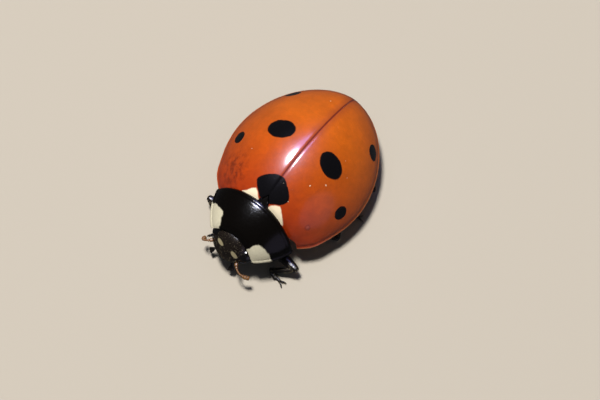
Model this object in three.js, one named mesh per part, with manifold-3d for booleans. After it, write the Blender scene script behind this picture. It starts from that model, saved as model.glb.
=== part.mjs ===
// Seven-spot ladybird (Coccinella septempunctata): a still, life-size model in millimetres.
// +Z is up and the floor is z = 0. The head points along -Y, so the insect's own left is +X.
// The origin is under the middle of the bounding box, on the floor.
import * as THREE from "three";
import { mergeVertices } from "three/addons/utils/BufferGeometryUtils.js";
import Module from "manifold-3d";

const wasm = await Module();
wasm.setup();

// ---------------------------------------------------------------- driving dimensions
// Until the last lines, y = 0 is the widest line of the wing cases.
const GAP = 0.04; // clearance between neighbouring plates
const SHELL = 0.5; // thickness of a wing case
const RIM = 0.95; // height of the wing cases' lower edge above the floor

// The wing cases: a dome on an egg-shaped plan. The powers shape the outline seen from above
// (plan), the ridge seen from the side, and the cross-section (flank).
const CASES = {
  halfWidth: 2.6,
  rear: 3.21, // from the widest line back to the tip
  front: 3.02, // from the widest line to the front end of the oval, most of it cut away
  top: 2.22, // height of the ridge above the rim
  bottom: 1,
  planRear: 1.85,
  planFront: 2,
  ridgeRear: 1.68,
  ridgeFront: 1.84,
  flank: 1.4,
};
const JOINT = { y: -2.24, radius: 5.4 }; // the arc where wing cases and pronotum meet
const SCUTELLUM = { halfWidth: 0.26, length: 0.34 };

// The body under the wing cases: its depth below the rim and the grooves between its plates.
const BELLY = { depth: 0.27, mesothoraxEnd: -1.24, metathoraxEnd: 0.3, grooves: [0.98, 1.42, 1.8, 2.14] };

// The front body is turned a little to its own right, and the head a little further.
const FORE_YAW = -3.6;
const HEAD_YAW = -4.4;
const NECK_Y = -3.1;
const PRONOTUM = {
  halfWidth: 1.68,
  rear: 1.1,
  front: 1.81,
  top: 1.14,
  bottom: 0.9,
  planFront: 1.75,
  ridgeFront: 1.75,
  flank: 1.55,
};
const PRONOTUM_AT = { y: -2.2, z: RIM + 0.26 };
const PRONOTUM_BAY = { y: -5.98, radius: 2.5 }; // the bay in the front margin, where the head sits
const PROSTERNUM = { halfWidth: 1.34, rear: 1, front: 1.1, top: 0.6, bottom: 0.48, planFront: 2.4 };
const HEAD = { halfWidth: 0.8, rear: 0.8, front: 0.68, top: 0.78, bottom: 0.46, planFront: 2.5, ridgeFront: 1.6 };
const HEAD_AT = { y: -3.46, z: RIM + 0.02 };
const EYE = { halfWidth: 0.27, rear: 0.34, front: 0.34, top: 0.33, bottom: 0.33 };
const EYE_AT = { x: 0.62, y: -3.54, z: RIM + 0.13 };

// Each leg: the hip, where the thigh leaves it, then knee, ankle and toe in this stance.
const FEMUR = 0.25; // radii at the thickest place
const TIBIA = 0.24;
const TARSUS = 0.23;
const LEGS = {
  leg_front_left: { hip: [0.74, -2.62], knee: [2.08, -2.8, 0.56], ankle: [1.3, -3.26], toe: [1.86, -3.34] },
  leg_front_right: { hip: [-0.74, -2.56], knee: [-1.86, -2.62, 0.56], ankle: [-0.94, -3.02], toe: [-1, -3.46] },
  leg_mid_left: { hip: [0.86, -1.12], knee: [2.48, -1.02, 0.54], ankle: [2.04, -0.14], toe: [2.54, 0.2] },
  leg_mid_right: { hip: [-0.86, -1.12], knee: [-2.26, -1.22, 0.56], ankle: [-1.94, -0.28], toe: [-2.3, 0.24] },
  leg_hind_left: { hip: [0.84, 0.42], knee: [2.38, 1.18, 0.54], ankle: [1.38, 1.94], toe: [1.2, 2.52] },
  leg_hind_right: { hip: [-0.84, 0.42], knee: [-2.14, 1.2, 0.56], ankle: [-1.3, 1.98], toe: [-1.18, 2.58] },
};
const HIP_Z = 0.4;
const ANKLE_Z = 0.24;
const TOE_Z = 0.17;

// ---------------------------------------------------------------- finishes
const finish = (color, roughness) => new THREE.MeshStandardMaterial({ color, roughness, metalness: 0 });
const redShell = finish(0xc8500a, 0.25);
const blackShell = finish(0x0d0b0c, 0.2);
const undersideBlack = finish(0x161313, 0.4);
const legBlack = finish(0x14110f, 0.35);
const eyeBlack = finish(0x0a0a0c, 0.12);
const feelerBrown = finish(0x3a2415, 0.4);

// ---------------------------------------------------------------- solids
const BIG = 20;
const vector = ([x, y, z]) => new THREE.Vector3(x, y, z);

// A closed geometry as a solid that can be joined and cut.
function solid(geometry) {
  const bare = geometry.clone();
  bare.deleteAttribute("normal");
  bare.deleteAttribute("uv");
  const merged = mergeVertices(bare, 1e-5);
  const mesh = new wasm.Mesh({
    numProp: 3,
    vertProperties: new Float32Array(merged.attributes.position.array),
    triVerts: new Uint32Array(merged.index.array),
  });
  return new wasm.Manifold(mesh);
}

// A solid's surface as a geometry with flat shading.
function surface(made) {
  const { vertProperties, triVerts } = made.getMesh();
  const geometry = new THREE.BufferGeometry();
  geometry.setAttribute("position", new THREE.BufferAttribute(new Float32Array(vertProperties), 3));
  geometry.setIndex(new THREE.BufferAttribute(new Uint32Array(triVerts), 1));
  const flat = geometry.toNonIndexed();
  flat.computeVertexNormals();
  return flat;
}

// A block between limits; a side without limits runs far past the model.
function block({ x = [-BIG, BIG], y = [-BIG, BIG], z = [-BIG, BIG] }) {
  const box = new THREE.BoxGeometry(x[1] - x[0], y[1] - y[0], z[1] - z[0]);
  return solid(box.translate((x[0] + x[1]) / 2, (y[0] + y[1]) / 2, (z[0] + z[1]) / 2));
}

// An upright column: an arc in plan, cut through everything.
function column(y, radius) {
  const cylinder = new THREE.CylinderGeometry(radius, radius, 2 * BIG, 96);
  return solid(cylinder.rotateX(Math.PI / 2).translate(0, y, 0));
}

// A rounded body on an oval plan, made by moving a sphere's points. Its long axis lies along Y.
function dome(d, at, around = 20, along = 14) {
  const sphere = new THREE.SphereGeometry(1, around, along);
  const place = sphere.attributes.position;
  for (let i = 0; i < place.count; i++) {
    const lengthwise = place.getY(i);
    const ring = Math.hypot(place.getX(i), place.getZ(i));
    const side = ring > 1e-6 ? place.getX(i) / ring : 0;
    const up = ring > 1e-6 ? place.getZ(i) / ring : 0;
    const back = lengthwise >= 0;
    const plan = (back ? d.planRear : d.planFront) ?? 2;
    const ridge = (back ? d.ridgeRear : d.ridgeFront) ?? 2;
    const reach = Math.abs(lengthwise) ** (2 / plan);
    const width = ring > 1e-6 ? ring ** (2 / plan) : 0;
    const height = Math.max(0, 1 - reach ** ridge) ** (1 / ridge);
    const rise = up >= 0 ? d.top * up ** (2 / (d.flank ?? 2)) : d.bottom * up;
    place.setX(i, (at.x ?? 0) + d.halfWidth * width * side);
    place.setY(i, at.y + (back ? d.rear : -d.front) * reach);
    place.setZ(i, at.z + (ring > 1e-6 ? height * rise : 0));
  }
  return solid(sphere);
}

const SIZES = ["halfWidth", "rear", "front", "top", "bottom"];

// The same dome with every size changed by a distance.
function grown(d, by) {
  const other = { ...d };
  for (const size of SIZES) other[size] += by;
  return other;
}

// A limb along a line or curve, with round ends; its radius varies from root (0) to tip (1).
function limb(curve, radiusAt, { grow = 0, sides = 8, rings = 8, roundness = 0.15 } = {}) {
  const sphere = new THREE.SphereGeometry(1, sides, rings);
  const place = sphere.attributes.position;
  for (let i = 0; i < place.count; i++) {
    const t = (1 - place.getY(i)) / 2;
    const isPole = Math.hypot(place.getX(i), place.getZ(i)) < 1e-6;
    const turn = Math.atan2(place.getZ(i), place.getX(i));
    const fromEnd = Math.min(1, Math.min(t, 1 - t) / roundness);
    const reach = isPole ? 0 : radiusAt(t) * Math.sqrt(1 - (1 - fromEnd) ** 2) + grow;
    const ahead = curve.getTangent(t);
    const side = new THREE.Vector3(0, 0, 1).cross(ahead).normalize();
    const up = new THREE.Vector3().crossVectors(ahead, side);
    const point = curve.getPoint(t);
    if (isPole) point.addScaledVector(ahead, t < 0.5 ? -grow : grow);
    point.addScaledVector(side, reach * Math.cos(turn)).addScaledVector(up, reach * Math.sin(turn));
    place.setXYZ(i, point.x, point.y, point.z);
  }
  return solid(sphere);
}

const line = (from, to) => new THREE.LineCurve3(vector(from), vector(to));
const arc = (from, through, to) => new THREE.QuadraticBezierCurve3(vector(from), vector(through), vector(to));
const mirrored = (made) => made.mirror([1, 0, 0]);
const yawed = (made, degrees, y) => made.translate([0, -y, 0]).rotate([0, 0, degrees]).translate([0, y, 0]);

// Adds a solid to a group as a named mesh, with the mesh's origin at its pivot.
function piece(group, name, made, material, pivot) {
  const [x, y, z] = pivot;
  const mesh = new THREE.Mesh(surface(made.simplify(0.002)).translate(-x, -y, -z), material);
  mesh.name = name;
  mesh.position.set(x, y, z).sub(group.userData.pivot ?? new THREE.Vector3());
  group.add(mesh);
}

const ladybird = new THREE.Group();
ladybird.name = "ladybird";

// ---------------------------------------------------------------- head
const foreBody = new THREE.Group();
foreBody.userData.pivot = new THREE.Vector3(0, JOINT.y, 0);
foreBody.position.copy(foreBody.userData.pivot);
foreBody.rotation.z = THREE.MathUtils.degToRad(FORE_YAW);
ladybird.add(foreBody);

const headGroup = new THREE.Group();
headGroup.userData.pivot = new THREE.Vector3(0, NECK_Y, 0);
headGroup.position.copy(headGroup.userData.pivot).sub(foreBody.userData.pivot);
headGroup.rotation.z = THREE.MathUtils.degToRad(HEAD_YAW);
foreBody.add(headGroup);

// Feelers swell to a club at the tip. The left one reaches a little further out.
const FEELER_BASE = [0.56, -4.0, RIM + 0.06];
const FEELER_BEND = [0.86, -4.3, RIM - 0.02];
const FEELER_TIPS = { left: [1.2, -3.96, RIM - 0.24], right: [0.88, -4.02, RIM - 0.24] };
const feelerRadius = (t) => 0.22 + 0.03 * THREE.MathUtils.smoothstep(t, 0.6, 0.85);
const feeler = (side, grow = 0) =>
  limb(arc(FEELER_BASE, FEELER_BEND, FEELER_TIPS[side]), feelerRadius, { grow, rings: 8, sides: 7 });

// Palps end in a broad hatchet-shaped joint; mandibles curve to meet at the middle.
const palpAt = (grow = 0) =>
  limb(line([0.32, -3.86, RIM - 0.3], [0.52, -4.12, RIM - 0.64]), (t) => 0.2 + 0.05 * t, {
    grow,
    rings: 5,
    sides: 6,
  });
const labrumAt = (grow = 0) =>
  dome(grown({ halfWidth: 0.34, rear: 0.22, front: 0.2, top: 0.17, bottom: 0.15 }, grow), {
    y: -3.99,
    z: RIM - 0.1,
  }, 10, 6);
const mandibleAt = () =>
  limb(arc([0.24, -3.86, RIM - 0.3], [0.24, -4.14, RIM - 0.4], [0.06, -4.14, RIM - 0.58]), (t) => 0.2 - 0.08 * t, {
    rings: 5,
    sides: 6,
  });

const headRoom = dome(grown(HEAD, GAP), HEAD_AT, 16, 12);
const eyeRoom = dome(grown(EYE, GAP), EYE_AT, 12, 8);
const palpRoom = palpAt(GAP);
const mandible = mandibleAt()
  .intersect(block({ x: [GAP / 2, BIG] }))
  .subtract(headRoom)
  .subtract(palpRoom)
  .subtract(labrumAt(GAP));

const neck = [0, NECK_Y, RIM];
piece(headGroup, "head", dome(HEAD, HEAD_AT, 16, 12).subtract(eyeRoom).subtract(mirrored(eyeRoom)), blackShell, neck);
piece(headGroup, "labrum", labrumAt().subtract(headRoom), blackShell, [0, -3.9, RIM]);
for (const side of ["left", "right"]) {
  const turned = side === "left" ? (made) => made : mirrored;
  const sign = side === "left" ? 1 : -1;
  const at = (x, y, z) => [sign * x, y, z];
  const bareFeeler = feeler(side).subtract(headRoom).subtract(eyeRoom).subtract(palpRoom);
  piece(headGroup, `eye_${side}`, turned(dome(EYE, EYE_AT, 10, 8)), eyeBlack, at(EYE_AT.x, EYE_AT.y, EYE_AT.z));
  piece(headGroup, `antenna_${side}`, turned(bareFeeler), feelerBrown, at(...FEELER_BASE));
  piece(headGroup, `palp_${side}`, turned(palpAt().subtract(headRoom)), legBlack, at(0.32, -3.86, RIM - 0.3));
  piece(headGroup, `mandible_${side}`, turned(mandible), feelerBrown, at(0.24, -3.86, RIM - 0.3));
}

// ---------------------------------------------------------------- legs
// Each leg is a hip, thigh, shank and foot. The foot is three lobed joints and two claws.
const femurRadius = (t) => FEMUR * (0.84 + 0.16 * Math.sin(Math.PI * t));
const tibiaRadius = (t) => TIBIA * (0.9 + 0.1 * t);
const tarsusRadius = (t) => TARSUS * (0.93 + 0.07 * Math.cos(6 * Math.PI * t));

function legSolids({ hip, knee, ankle, toe }) {
  const sign = Math.sign(hip[0]);
  const hipEnd = [hip[0], hip[1], HIP_Z];
  const ankleAt = [ankle[0], ankle[1], ANKLE_Z];
  const toeAt = [toe[0], toe[1], TOE_Z];
  const aboveFloor = block({ z: [0, BIG] });
  const thighLine = line(hipEnd, knee);
  const shankLine = line(knee, ankleAt);
  const footLine = line(ankleAt, toeAt);
  const coxaLine = line([hip[0] - sign * 0.44, hip[1] - 0.02, 0.52], [hip[0] + sign * 0.06, hip[1], 0.48]);
  const thigh = (grow) => limb(thighLine, femurRadius, { grow, sides: 7, rings: 6, roundness: 0.2 });
  const shank = (grow) => limb(shankLine, tibiaRadius, { grow, sides: 7, rings: 6, roundness: 0.2 });
  const coxa = (grow) => limb(coxaLine, () => 0.24, { grow, sides: 7, rings: 5, roundness: 0.3 });
  const ahead = footLine.getTangent(0.5);
  const outward = new THREE.Vector3(-ahead.y, ahead.x, 0).normalize();
  let foot = limb(footLine, tarsusRadius, { rings: 8, sides: 7 });
  for (const way of [-1, 1]) {
    const root = footLine.getPoint(0.9).addScaledVector(outward, way * 0.07);
    const bend = root.clone().addScaledVector(ahead, 0.2).addScaledVector(outward, way * 0.08);
    const tip = bend.clone().addScaledVector(ahead, 0.08).setZ(0.02);
    const claw = limb(new THREE.QuadraticBezierCurve3(root, bend, tip), (t) => 0.07 - 0.04 * t, {
      sides: 4,
      rings: 4,
    });
    foot = foot.add(claw);
  }
  return {
    coxa: coxa(0).subtract(thigh(GAP)),
    coxaRoom: coxa(GAP),
    femur: thigh(0),
    femurRoom: thigh(GAP),
    tibia: shank(0).subtract(thigh(GAP)),
    tibiaRoom: shank(GAP),
    tarsus: foot.intersect(aboveFloor).subtract(shank(GAP)).subtract(thigh(GAP)),
    joints: { coxa: coxaLine.getPoint(0).toArray(), femur: hipEnd, tibia: knee, tarsus: ankleAt },
  };
}

const legRooms = [];
for (const [name, spec] of Object.entries(LEGS)) {
  const made = legSolids(spec);
  for (const part of ["coxa", "femur", "tibia", "tarsus"]) {
    piece(ladybird, `${name}_${part}`, made[part], legBlack, made.joints[part]);
  }
  legRooms.push(made.coxaRoom, made.femurRoom, made.tibiaRoom);
}
const clearOfLegs = (made) => legRooms.reduce((rest, room) => rest.subtract(room), made);

// ---------------------------------------------------------------- pronotum and its underside
const foreArc = column(JOINT.y - JOINT.radius, JOINT.radius);
const headSpace = yawed(headRoom.add(eyeRoom).add(mirrored(eyeRoom)), HEAD_YAW, NECK_Y)
  .add(yawed(feeler("left", GAP).add(mirrored(feeler("right", GAP))), HEAD_YAW, NECK_Y));
const pronotum = dome(PRONOTUM, PRONOTUM_AT, 28, 18)
  .intersect(block({ z: [PRONOTUM_AT.z, BIG] }))
  .intersect(foreArc)
  .subtract(column(PRONOTUM_BAY.y, PRONOTUM_BAY.radius))
  .subtract(headSpace);
const prosternum = dome(PROSTERNUM, { y: -2.42, z: RIM + 0.18 }, 18, 12)
  .intersect(block({ z: [-BIG, PRONOTUM_AT.z - GAP] }))
  .intersect(foreArc)
  .subtract(headSpace);
const prosternumClear = yawed(clearOfLegs(yawed(prosternum, FORE_YAW, JOINT.y)), -FORE_YAW, JOINT.y);
piece(foreBody, "pronotum", pronotum, blackShell, [0, JOINT.y, RIM]);
piece(foreBody, "prosternum", prosternumClear, undersideBlack, [0, JOINT.y, RIM - 0.2]);

// ---------------------------------------------------------------- wing cases and scutellum
const foreSpace = yawed(column(JOINT.y - JOINT.radius, JOINT.radius + GAP), FORE_YAW, JOINT.y);
const bothCases = dome(CASES, { y: 0, z: RIM }, 36, 24)
  .intersect(block({ z: [RIM, BIG] }))
  .subtract(dome(grown(CASES, -SHELL), { y: 0, z: RIM }, 24, 16))
  .subtract(foreSpace);

// The scutellum is a small triangle between the wing cases, point to the rear.
function scutellumColumn(grow) {
  const plan = new THREE.Shape();
  plan.moveTo(-SCUTELLUM.halfWidth - grow, JOINT.y - 0.3);
  plan.lineTo(SCUTELLUM.halfWidth + grow, JOINT.y - 0.3);
  plan.lineTo(SCUTELLUM.halfWidth + grow, JOINT.y);
  plan.lineTo(0, JOINT.y + SCUTELLUM.length + 1.5 * grow);
  plan.lineTo(-SCUTELLUM.halfWidth - grow, JOINT.y);
  return solid(new THREE.ExtrudeGeometry(plan, { depth: BIG, bevelEnabled: false }));
}
const cases = bothCases.subtract(scutellumColumn(GAP));
const leftCase = cases.intersect(block({ x: [GAP / 2, BIG] }));
const rightCase = cases.intersect(block({ x: [-BIG, -GAP / 2] }));
piece(ladybird, "scutellum", bothCases.intersect(scutellumColumn(0)), blackShell, [0, JOINT.y, RIM + 1.2]);
piece(ladybird, "elytron_left", leftCase, redShell, [0.3, JOINT.y, RIM + 1.2]);
piece(ladybird, "elytron_right", rightCase, redShell, [-0.3, JOINT.y, RIM + 1.2]);

// ---------------------------------------------------------------- body under the wing cases
const body = dome({ ...grown(CASES, -SHELL - GAP), bottom: BELLY.depth }, { y: 0, z: RIM }, 24, 16);
const bodyClear = clearOfLegs(body.subtract(foreSpace));
const section = (from, to) => bodyClear.intersect(block({ y: [from + GAP / 2, to - GAP / 2] }));

// Shallow grooves part the abdomen's plates.
const core = dome({ ...grown(CASES, -SHELL - 3 * GAP), bottom: BELLY.depth - 0.06 }, { y: 0, z: RIM });
const groove = (y) => block({ y: [y - 0.03, y + 0.03], z: [-BIG, RIM] }).subtract(core);
const abdomen = BELLY.grooves.reduce(
  (rest, y) => rest.subtract(groove(y)),
  section(BELLY.metathoraxEnd, BIG),
);
piece(ladybird, "mesothorax", section(-BIG, BELLY.mesothoraxEnd), undersideBlack, [0, -2, RIM]);
piece(ladybird, "metathorax", section(BELLY.mesothoraxEnd, BELLY.metathoraxEnd), undersideBlack, [0, -0.5, RIM]);
piece(ladybird, "abdomen", abdomen, undersideBlack, [0, BELLY.metathoraxEnd, RIM]);

// The origin goes under the middle of the whole, on the floor.
const bounds = new THREE.Box3().setFromObject(ladybird, true);
const middle = bounds.getCenter(new THREE.Vector3());
ladybird.position.set(-middle.x, -middle.y, -bounds.min.z);

export default ladybird;
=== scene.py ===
"""Seven-spot ladybird, crouched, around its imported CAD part. Shapes are in millimetres until settle()."""
import math
import random

import bpy
from mathutils import Matrix, Vector


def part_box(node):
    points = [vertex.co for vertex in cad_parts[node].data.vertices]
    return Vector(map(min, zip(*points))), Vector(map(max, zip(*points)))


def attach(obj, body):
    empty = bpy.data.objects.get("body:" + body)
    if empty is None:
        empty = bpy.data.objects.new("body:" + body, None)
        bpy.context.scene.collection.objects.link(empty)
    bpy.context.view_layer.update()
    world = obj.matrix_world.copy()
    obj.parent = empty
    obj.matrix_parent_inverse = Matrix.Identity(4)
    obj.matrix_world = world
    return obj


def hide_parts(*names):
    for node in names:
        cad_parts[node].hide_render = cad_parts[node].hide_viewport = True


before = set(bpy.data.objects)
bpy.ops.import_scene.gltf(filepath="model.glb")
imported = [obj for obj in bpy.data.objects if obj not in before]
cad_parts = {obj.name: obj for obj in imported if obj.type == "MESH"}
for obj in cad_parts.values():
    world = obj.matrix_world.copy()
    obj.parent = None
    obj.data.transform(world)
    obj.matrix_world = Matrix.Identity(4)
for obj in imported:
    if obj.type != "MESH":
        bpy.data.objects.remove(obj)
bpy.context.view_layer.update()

# ---------------------------------------------------------------- stage
# A sheet of pale card in a pale tent. A small round lamp stands high on the insect's right, with two
# panels beside it that show only in the gloss, and a broad panel low on its left gives a soft sheen.
# The camera looks down on the insect from above its head, a little to its left.


def hex_colour(code):
    """An sRGB hex colour as linear red, green, blue and alpha."""
    channels = [int(code[i:i + 2], 16) / 255 for i in (0, 2, 4)]
    return tuple(c / 12.92 if c <= 0.04045 else ((c + 0.055) / 1.055) ** 2.4 for c in channels) + (1.0,)


def fill(shader_node, sockets):
    """Fills a node's sockets with numbers or other nodes' outputs: a mix's colour, or else the first."""
    for name, value in sockets.items():
        if isinstance(value, bpy.types.Node):
            value = value.outputs[2 if value.bl_idname == "ShaderNodeMix" else 0]
        if isinstance(value, bpy.types.NodeSocket):
            shader_node.id_data.links.new(value, shader_node.inputs[name])
        else:
            shader_node.inputs[name].default_value = value


def node(tree, kind, sockets=None, **settings):
    """Adds a shader node, sets it and fills its sockets."""
    made = tree.nodes.new("ShaderNode" + kind)
    for name, value in settings.items():
        setattr(made, name, value)
    fill(made, sockets or {})
    return made


def material(name):
    """A new material: the material, its node tree and its main shader."""
    made = bpy.data.materials.new(name)
    made.use_nodes = True
    return made, made.node_tree, made.node_tree.nodes["Principled BSDF"]


def clear_selection():
    bpy.ops.object.select_all(action="DESELECT")


def select_only(obj):
    clear_selection()
    obj.select_set(True)
    bpy.context.view_layer.objects.active = obj


MM = 0.001
RIM = 0.95  # the wing cases' lower edge above the floor
REAR = 3.21  # from their widest line to their tip
SEAM_GAP = 0.02  # the left one's solid stands this far off the midline
left_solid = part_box("elytron_left")
MIDDLE_X = left_solid[0].x - SEAM_GAP * MM  # where the insect's midline and widest line lie in the frame
WIDEST_Y = left_solid[1].y - REAR * MM
ORIGIN = Vector((MIDDLE_X, WIDEST_Y, 0))

# Camera: the direction from the insect to the lens, and the picture's right and up.
TO_LENS = Vector((0.1457, -0.3090, 0.9398))
PICTURE_RIGHT = Vector((0.7925, 0.6059, 0.0763))
PICTURE_UP = Vector((-0.5931, 0.7332, 0.3330))
CENTRE = Vector((0, 0, 0.9455))  # the point under the back that the lens is set out from
LENS_AWAY = 189.1
AIM_RIGHT, AIM_DOWN = 0.0336, 1.0296  # the picture's middle, seen from that point
aim = ORIGIN + MM * (CENTRE + AIM_RIGHT * PICTURE_RIGHT - AIM_DOWN * PICTURE_UP)
lens = ORIGIN + MM * CENTRE + LENS_AWAY * MM * TO_LENS
camera = bpy.data.objects.new("camera", bpy.data.cameras.new("camera"))
bpy.context.scene.collection.objects.link(camera)
back = (lens - aim).normalized()
right = PICTURE_UP.cross(back).normalized()
turned = Matrix((right, back.cross(right), back)).transposed().to_4x4()
camera.matrix_world = Matrix.Translation(lens) @ turned
camera.data.lens = 331.2
camera.data.sensor_width = 36
camera.data.clip_start = 0.01
camera.data.clip_end = 20
bpy.context.scene.camera = camera
bpy.context.scene.view_settings.view_transform = "Standard"

clear_selection()
bpy.ops.mesh.primitive_plane_add(size=2)
floor = bpy.context.object
floor.name = "floor"
# Uncoated card: pale, warm and matt, so that it takes a soft shadow and no reflection.
card, tree, shader = material("pale_card")
fill(shader, {"Base Color": hex_colour("b6b1aa"), "Roughness": 0.85})
floor.data.materials.append(card)
floor.visible_glossy = False  # the glossy shells mirror the tent above, not the pale card
LAMP_AWAY = 0.5  # metres


def lamp(name, towards, length, width, power, colour, mirrored_only=False):
    """A round or oval softbox, or a panel that shows only in the gloss. Sizes are in metres."""
    made = bpy.data.objects.new(name, bpy.data.lights.new(name, "AREA"))
    made.data.shape = "ELLIPSE"
    made.data.size = length
    made.data.size_y = width
    made.data.energy = power
    made.data.color = hex_colour(colour)[:3]
    made.visible_diffuse = not mirrored_only
    z = Vector(towards).normalized()
    x = (Vector((0, 1, 0)) - z * z.y).normalized()
    made.matrix_world = Matrix.Translation(z * LAMP_AWAY) @ Matrix((x, z.cross(x), z)).transposed().to_4x4()
    bpy.context.scene.collection.objects.link(made)


lamp("key_lamp", (-0.263, -0.003, 0.965), 0.09, 0.09, 3.4, "fff8ea")
lamp("core_panel", (-0.263, 0.02, 0.965), 0.2, 0.12, 2.4, "d8e0ff", mirrored_only=True)
lamp("halo_panel", (-0.24, 0.36, 0.9), 0.42, 0.16, 1.8, "a8acff", mirrored_only=True)
lamp("sheen_panel", (0.93, -0.3, 0.2), 0.4, 0.4, 0.17, "dcd2ff", mirrored_only=True)
world = bpy.data.worlds.new("tent")
bpy.context.scene.world = world
world.use_nodes = True
fill(world.node_tree.nodes["Background"], {"Color": hex_colour("dfe3ea"), "Strength": 0.07})

# ---------------------------------------------------------------- wing cases
# The two elytra are the beetle's hardened fore wings: domed shells of chitin a tenth of a millimetre
# thick. Each is hinged at the pronotum, meets the other along the back, and is folded in underneath
# along its outer edge. They are orange-red with seven black spots.
CASE = {"half": 2.57, "rear": REAR, "front": 3.02, "top": 2.22}
PLAN = {"rear": 1.85, "front": 2.0}  # powers of the oval seen from above, 2 for an ellipse
RIDGE = {"rear": 1.68, "front": 1.84}  # powers of the line along the top
ARCH = 1.4  # power of the cross-section
JOINT_Y = -2.24  # where the shield meets the wing cases, on the midline
JOINT_RADIUS = 5.4  # of the curve along which they meet
CORNER_CUT = 0.17  # how far the outer front corner is rounded back
WALL = 0.06
FOLD = 0.42  # width of the folded-in edge
FOLD_SHARE = 0.12  # the fold's share of a crosswise line, in widths of the visible part
FRONT_SHARE = 0.42  # the share of a lengthwise line in front of the widest line
SEAT = {"half": 0.25, "length": 0.33}  # the notch at the front of the seam, where the scutellum sits


def smooth(value, low, high):
    """0 below low, 1 above high, and a smooth step between."""
    t = min(1, max(0, (value - low) / (high - low)))
    return t * t * (3 - 2 * t)


def bell(value, centre, width):
    return math.exp(-((value - centre) / width) ** 2)


def case_outline(y):
    """Half width of the oval and the share of its full height, at a distance y from the widest line."""
    end = "rear" if y >= 0 else "front"
    reach = min(1, abs(y) / CASE[end])
    half = CASE["half"] * (1 - reach ** PLAN[end]) ** (1 / PLAN[end])
    return half, (1 - reach ** RIDGE[end]) ** (1 / RIDGE[end])


def joint_line(x):
    """How far forward of JOINT_Y the curved joint lies at a distance x from the midline."""
    return JOINT_RADIUS - math.sqrt(JOINT_RADIUS ** 2 - x * x)


def case_rise(x, y):
    """Height of the plain dome over the rim."""
    half, share = case_outline(y)
    return CASE["top"] * share * max(0, 1 - (x / half) ** 2) ** (1 / ARCH) if half > 0 else 0


def case_point(across, along):
    """A point of the left wing case: across runs from the seam (0) to the edge (1) and on into the fold."""
    angle = min(across, 1) * math.pi / 2
    x = 1.5 * math.sin(angle)
    base = JOINT_Y + 0.03
    for _ in range(6):  # the front line and the width depend on each other, so both are settled in turn
        start = base - joint_line(x) + CORNER_CUT * smooth(x, 1.1, 1.6) ** 2
        if along < FRONT_SHARE:
            y = start * (1 - along / FRONT_SHARE)
        else:
            reach = (along - FRONT_SHARE) / (1 - FRONT_SHARE)
            y = CASE["rear"] * math.sin(reach * math.pi / 2) ** (2 / PLAN["rear"])
        half = case_outline(y)[0]
        x = half * math.sin(angle)
    inner = max(0.0005, SEAT["half"] * (1 - (y - JOINT_Y) / SEAT["length"]) + 0.012)  # seam or notch
    x = max(x, min(inner, half))
    z = case_rise(x, y)
    from_base = y - start
    z += 0.035 * bell(x, 1.38, 0.3) * bell(y, -1.72, 0.32)  # the shoulder's low boss
    z -= 0.06 * (1 - smooth(from_base, 0, 0.12)) ** 2  # the front edge rolls down
    z -= 0.02 * (1 - smooth(x - inner, 0, 0.035)) ** 2 * smooth(half, 0, 0.4)  # and so does the seam's edge
    outward = Vector((x, y * 0.55, 0)).normalized()
    lip = 0.025 * bell(z, 0.02, 0.04) - 0.012 * bell(z, 0.12, 0.05)
    lip += 0.06 * bell(y, -1.85, 0.35) * (1 - smooth(z, 0, 0.6))  # the low shoulder is a little fuller
    place = Vector((x, y, RIM + max(z, 0))) + outward * lip * smooth(half, 0.05, 0.5)
    if across > 1:
        inward = (across - 1) / FOLD_SHARE
        place -= outward * min(FOLD, half * 0.6) * inward
        place.z += 0.05 * inward * inward
    place.x = max(place.x, inner)
    return place


def reshape(obj, move):
    """Moves every point of a mesh by a rule."""
    for vertex in obj.data.vertices:
        vertex.co = move(vertex.co.copy())
    obj.data.update()


def copy_of(obj):
    """A duplicate with a mesh of its own."""
    select_only(obj)
    bpy.ops.object.duplicate()
    return bpy.context.object


def finish_modifiers(obj, **kinds):
    """Adds modifiers in order, each with its settings, and applies them."""
    select_only(obj)
    for kind, settings in kinds.items():
        modifier = obj.modifiers.new(kind, kind)
        for name, value in settings.items():
            setattr(modifier, name, value)
        bpy.ops.object.modifier_apply(modifier=modifier.name)


def mend(obj, distance=0.002):
    """Merges doubled points and turns all faces outwards."""
    select_only(obj)
    bpy.ops.object.mode_set(mode="EDIT")
    bpy.ops.mesh.select_all(action="SELECT")
    bpy.ops.mesh.remove_doubles(threshold=distance)
    bpy.ops.mesh.normals_make_consistent()
    bpy.ops.object.mode_set(mode="OBJECT")


SMOOTH_ANGLE = math.radians(50)  # edges sharper than this stay crisp


def settle(obj, name, look, node_name):
    """Puts a finished piece, made in millimetres, in the frame with its material, and hides the CAD node it
    replaces.
    """
    obj.name = name
    obj.data.transform(Matrix.Translation(ORIGIN) @ Matrix.Scale(MM, 4))
    obj.data.materials.append(look)
    select_only(obj)
    bpy.ops.object.shade_smooth_by_angle(angle=SMOOTH_ANGLE)
    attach(obj, "root")
    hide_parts(node_name)


def beetle_place(tree):
    """The point on the insect in millimetres from its midline, its widest line and the floor."""
    place = node(tree, "TexCoord").outputs["Object"]
    return node(tree, "Mapping", {
        "Vector": place, "Location": (-MIDDLE_X / MM, -WIDEST_Y / MM, 0), "Scale": (1000, 1000, 1000)})


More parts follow.
